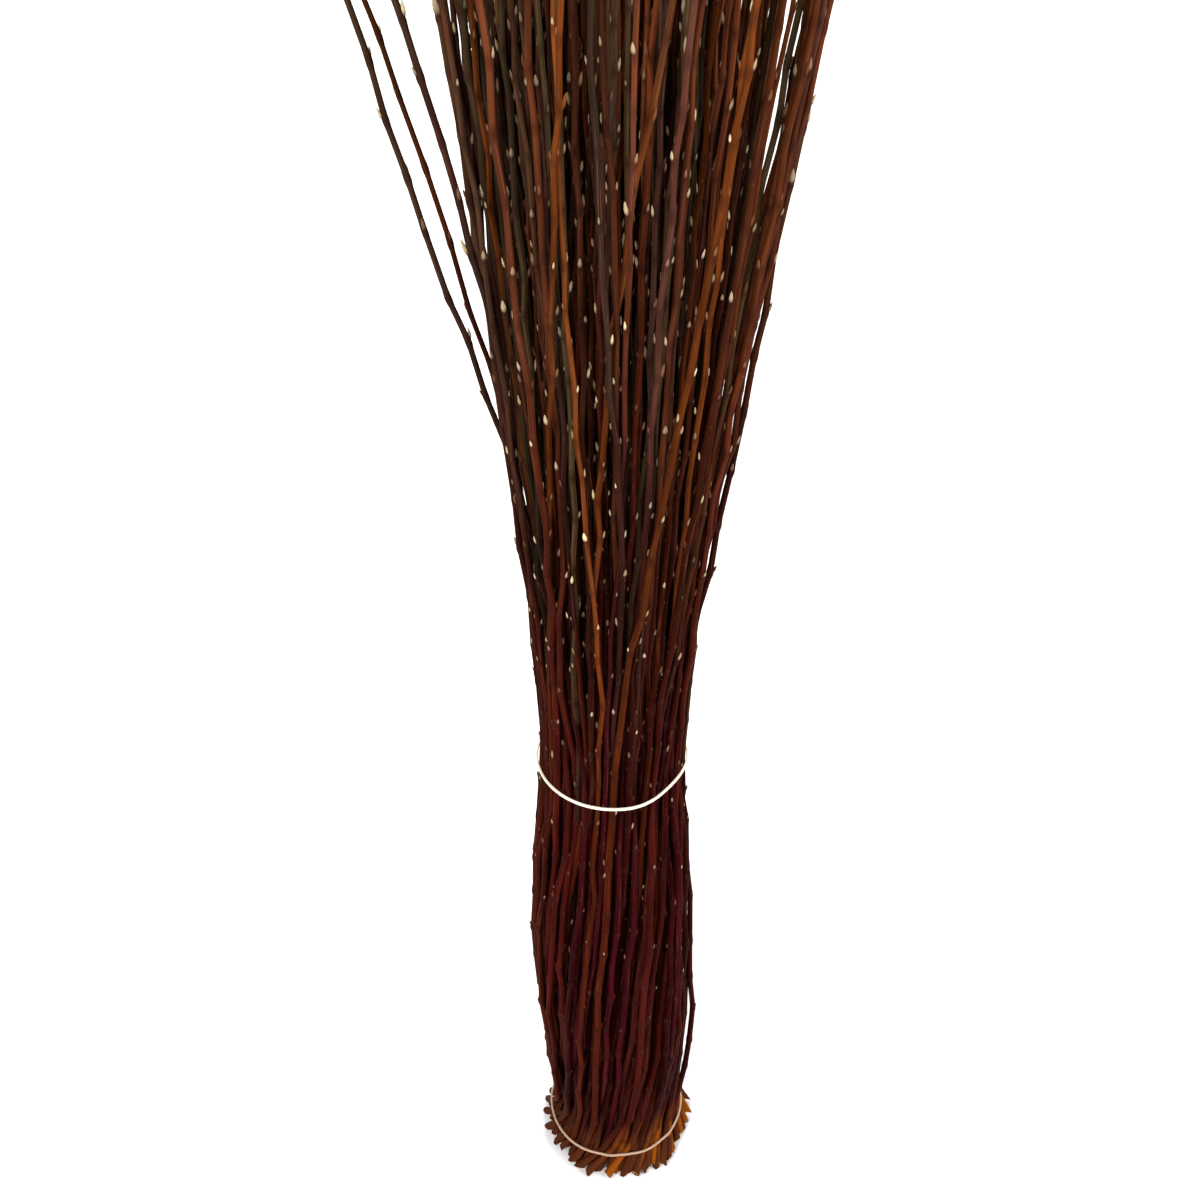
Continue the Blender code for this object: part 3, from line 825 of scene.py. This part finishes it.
triangles = 0
for number, (node, (knots, radii)) in enumerate(outer.items()):
    rng = np.random.default_rng([21, number])
    radii = radii * SLIMMED.get(node, 1.0)
    mesh = rod_mesh(node, "fine", knots, radii, OUTER_JOINTS, look_of(node, knots, 1.0, rng), rng)
    mesh.materials.append(barks[slot_of[node]])
    finish_piece(f"{node}_grown", mesh, [node])
    mesh.calc_loop_triangles()
    triangles += len(mesh.loop_triangles)
print("outer rods:", len(outer), "pieces,", triangles, "triangles")

# %% [markdown]
# ## The inner rods
# They are grown in the same way from the lighter template, and joined by the colour of their bark,
# so that the whole inside of the bundle is four pieces. The deeper a rod lies, the darker its bark
# is painted, as painted shade for the little light that gets between the rods.

# %% Grow the inner rods
INNER_BARKS = (
    ["bark_maroon", "bark_red", "bark_olive", "bark_orange", "bark_maroon", "bark_red"]
    + ["bark_olive", "bark_maroon", "bark_orange", "bark_red", "bark_olive"]
)
BUTT_LIFT = 0.006
# The bark of the rods deep inside is painted darker, as painted shade, the more so the nearer the middle.
DEPTHS = (0.3, 0.7, 1.0)
PAINTED_DEPTH_SHADES = (0.35, 0.50, 0.85)


def inner_knots(number):
    """Course and radii of one inner rod from its cut end to its tip."""
    foot = max(0.0, BUTT_LIFT * rng.uniform(-1.0, 1.0))
    top = inner_lengths[number]
    heights = np.concatenate([[foot], LEVELS[(LEVELS > 0.01) & (LEVELS < top - 0.01)], [top]])
    flat = [np.interp(heights, LEVELS, inner_paths[:, number, axis]) for axis in (0, 1)]
    knots = np.stack([*flat, heights], axis=-1)
    return knots, inner_thickness[number] * rod_radius(heights, top)


def painted_depth_shade(number):
    """Painted shade: darker bark for the rods deep inside, so that the gaps between the outer ones read as depth.
    """
    return np.interp(math.sqrt((number + 0.5) / INNER_RODS), DEPTHS, PAINTED_DEPTH_SHADES)


inner = {}
groups = {bark: [] for bark in BARKS}
for number in range(INNER_RODS):
    groups[INNER_BARKS[number % len(INNER_BARKS)]].append(number)

for bark, numbers in groups.items():
    joined = bmesh.new()
    across = math.ceil(math.sqrt(len(numbers)))
    for order, number in enumerate(numbers):
        rng = np.random.default_rng([22, number])
        inner[number] = knots, radii = inner_knots(number)
        tile = (order % across, order // across)
        one = rod_mesh(
            "inner", "plain", knots, radii, INNER_JOINTS, look_of("", knots, painted_depth_shade(number), rng), rng,
            tile, (across, across),
        )
        joined.from_mesh(one)
        bpy.data.meshes.remove(one)
    mesh = bpy.data.meshes.new(f"inner_{bark}")
    joined.to_mesh(mesh)
    joined.free()
    mesh.materials.append(barks[bark])
    finish_piece(f"inner_{bark}_rods", mesh, ["inner_rods"] if bark == "bark_maroon" else [])
    mesh.calc_loop_triangles()
    print(bark, "inside:", len(numbers), "rods,", len(mesh.loop_triangles), "triangles")

# %% [markdown]
# ## The rubber bands
# A rubber band is pulled tight, so it touches the rods that stick out most and runs straight from
# one to the next. That line is found by asking, for every direction, which rod reaches furthest.
# The band itself is a small rounded rectangle spun once round, then moved onto that line.

# %% Stretch a band round the rods
BAND_STEPS = 240
BAND_THICKNESS = 0.0014
BAND_HEIGHT = 0.0018
BAND_ROUND = 0.0005
BAND_GAP = 0.0003
BAND_EASE = {"lower_band": 0.03, "upper_band": 0.16}


def furthest(height, directions):
    """For each direction, the point of the rods at that height that reaches furthest."""
    every = [*outer.values(), *inner.values()]
    centres = np.array([course_at(knots, np.array([height]))[0] for knots, _ in every])
    radii = np.array([np.interp(height, knots[:, 2], radii) for knots, radii in every])
    reach = directions @ centres.T + radii
    chosen = reach.argmax(axis=1)
    return centres[chosen] + directions * radii[chosen][:, None]


def eased_ring(spots, middle, ease, angles):
    """The ring through the spots, smoothed over the given angle, and just clear of them all."""
    offset = spots - middle
    around = np.arctan2(offset[:, 1], offset[:, 0])
    order = np.argsort(around)
    even = np.linspace(-math.pi, math.pi, 721)[:-1]
    reach = np.interp(even, around[order], np.linalg.norm(offset, axis=1)[order], period=math.tau)
    apart = (even[:, None] - even + math.pi) % math.tau - math.pi
    weight = np.exp(-0.5 * (apart / ease) ** 2)
    smooth = weight @ reach / weight.sum(axis=1)
    smooth += (reach - smooth).max()
    return middle + np.stack([np.cos(angles), np.sin(angles)], -1) * np.interp(
        angles, even, smooth, period=math.tau
    )[:, None]


def stretch_band(node, material):
    low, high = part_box(node)
    middle = (low + high) / 2
    bm = bmesh.new()
    bmesh.ops.create_grid(bm, x_segments=1, y_segments=1, size=0.5)
    for vert in bm.verts:
        vert.co = Vector((vert.co.x * BAND_THICKNESS, 0.0, vert.co.y * BAND_HEIGHT))
    bmesh.ops.bevel(
        bm, geom=bm.verts[:], offset=BAND_ROUND, segments=3, profile=0.5, affect="VERTICES", material=-1
    )
    bmesh.ops.translate(bm, verts=bm.verts, vec=(1.0, 0.0, 0.0))
    rim = [edge for edge in bm.edges if edge.is_boundary]
    bmesh.ops.delete(bm, geom=bm.faces[:], context="FACES_ONLY")
    bmesh.ops.spin(
        bm, geom=rim, cent=(0, 0, 0), axis=(0, 0, 1), dvec=(0, 0, 0), angle=math.tau, steps=BAND_STEPS,
        use_merge=True,
    )
    bmesh.ops.recalc_face_normals(bm, faces=bm.faces[:])
    spots = np.array([vert.co for vert in bm.verts])
    angle = np.arctan2(spots[:, 1], spots[:, 0])
    directions = np.stack([np.cos(angle), np.sin(angle)], axis=-1)
    out = np.hypot(spots[:, 0], spots[:, 1]) - 1.0 + BAND_THICKNESS / 2 + BAND_GAP
    around = np.linspace(0.0, math.tau, 1441)[:-1]
    touched = furthest(middle.z, np.stack([np.cos(around), np.sin(around)], axis=-1))
    ring = eased_ring(touched, np.array(middle[:2]), BAND_EASE[node], angle)
    flat = ring + directions * out[:, None]
    for vert, place, rise in zip(bm.verts, flat, spots[:, 2]):
        vert.co = (place[0], place[1], middle.z + rise)
    mesh = bpy.data.meshes.new(f"{node}_stretched")
    bm.to_mesh(mesh)
    bm.free()
    mesh.shade_smooth()
    mesh.materials.append(material)
    return finish_piece(f"{node}_stretched", mesh, [node])


# %% Rubber
RUBBER_PALE = colour(244, 232, 208)
RUBBER_DARK = colour(178, 150, 124)


def rubber_material():
    material = bpy.data.materials.new("rubber")
    material.use_nodes = True
    tree = material.node_tree
    shader = tree.nodes["Principled BSDF"]
    place = add(tree, "ShaderNodeTexCoord").outputs["Object"]
    height = add(tree, "ShaderNodeSeparateXYZ", {"Vector": place}).outputs["Z"]
    dust = stretched_noise(tree, place, 260.0, 900.0, 3.0)
    # Darker low down: the band near the floor takes the darker colour, and darker patches lie over both bands.
    pale_high_dark_low = mixed(tree, ranged(tree, height, 0.05, 0.35), RUBBER_DARK, RUBBER_PALE)
    tone = mixed(tree, ranged(tree, dust, 0.5, 0.85, 0.0, 0.35), pale_high_dark_low, RUBBER_DARK)
    tree.links.new(tone, shader.inputs["Base Color"])
    tree.links.new(ranged(tree, dust, 0.3, 0.8, 0.42, 0.6), shader.inputs["Roughness"])
    shader.inputs["Subsurface Weight"].default_value = 0.15
    shader.inputs["Subsurface Scale"].default_value = 0.001
    return material


rubber = rubber_material()
for node in ("lower_band", "upper_band"):
    band = stretch_band(node, rubber)
    print(band.name, "has", len(band.data.polygons), "faces")

# %% [markdown]
# ## Clean up
# The templates were only patterns for the copies.

# %% Remove the templates
for mesh in templates.values():
    bpy.data.meshes.remove(mesh)
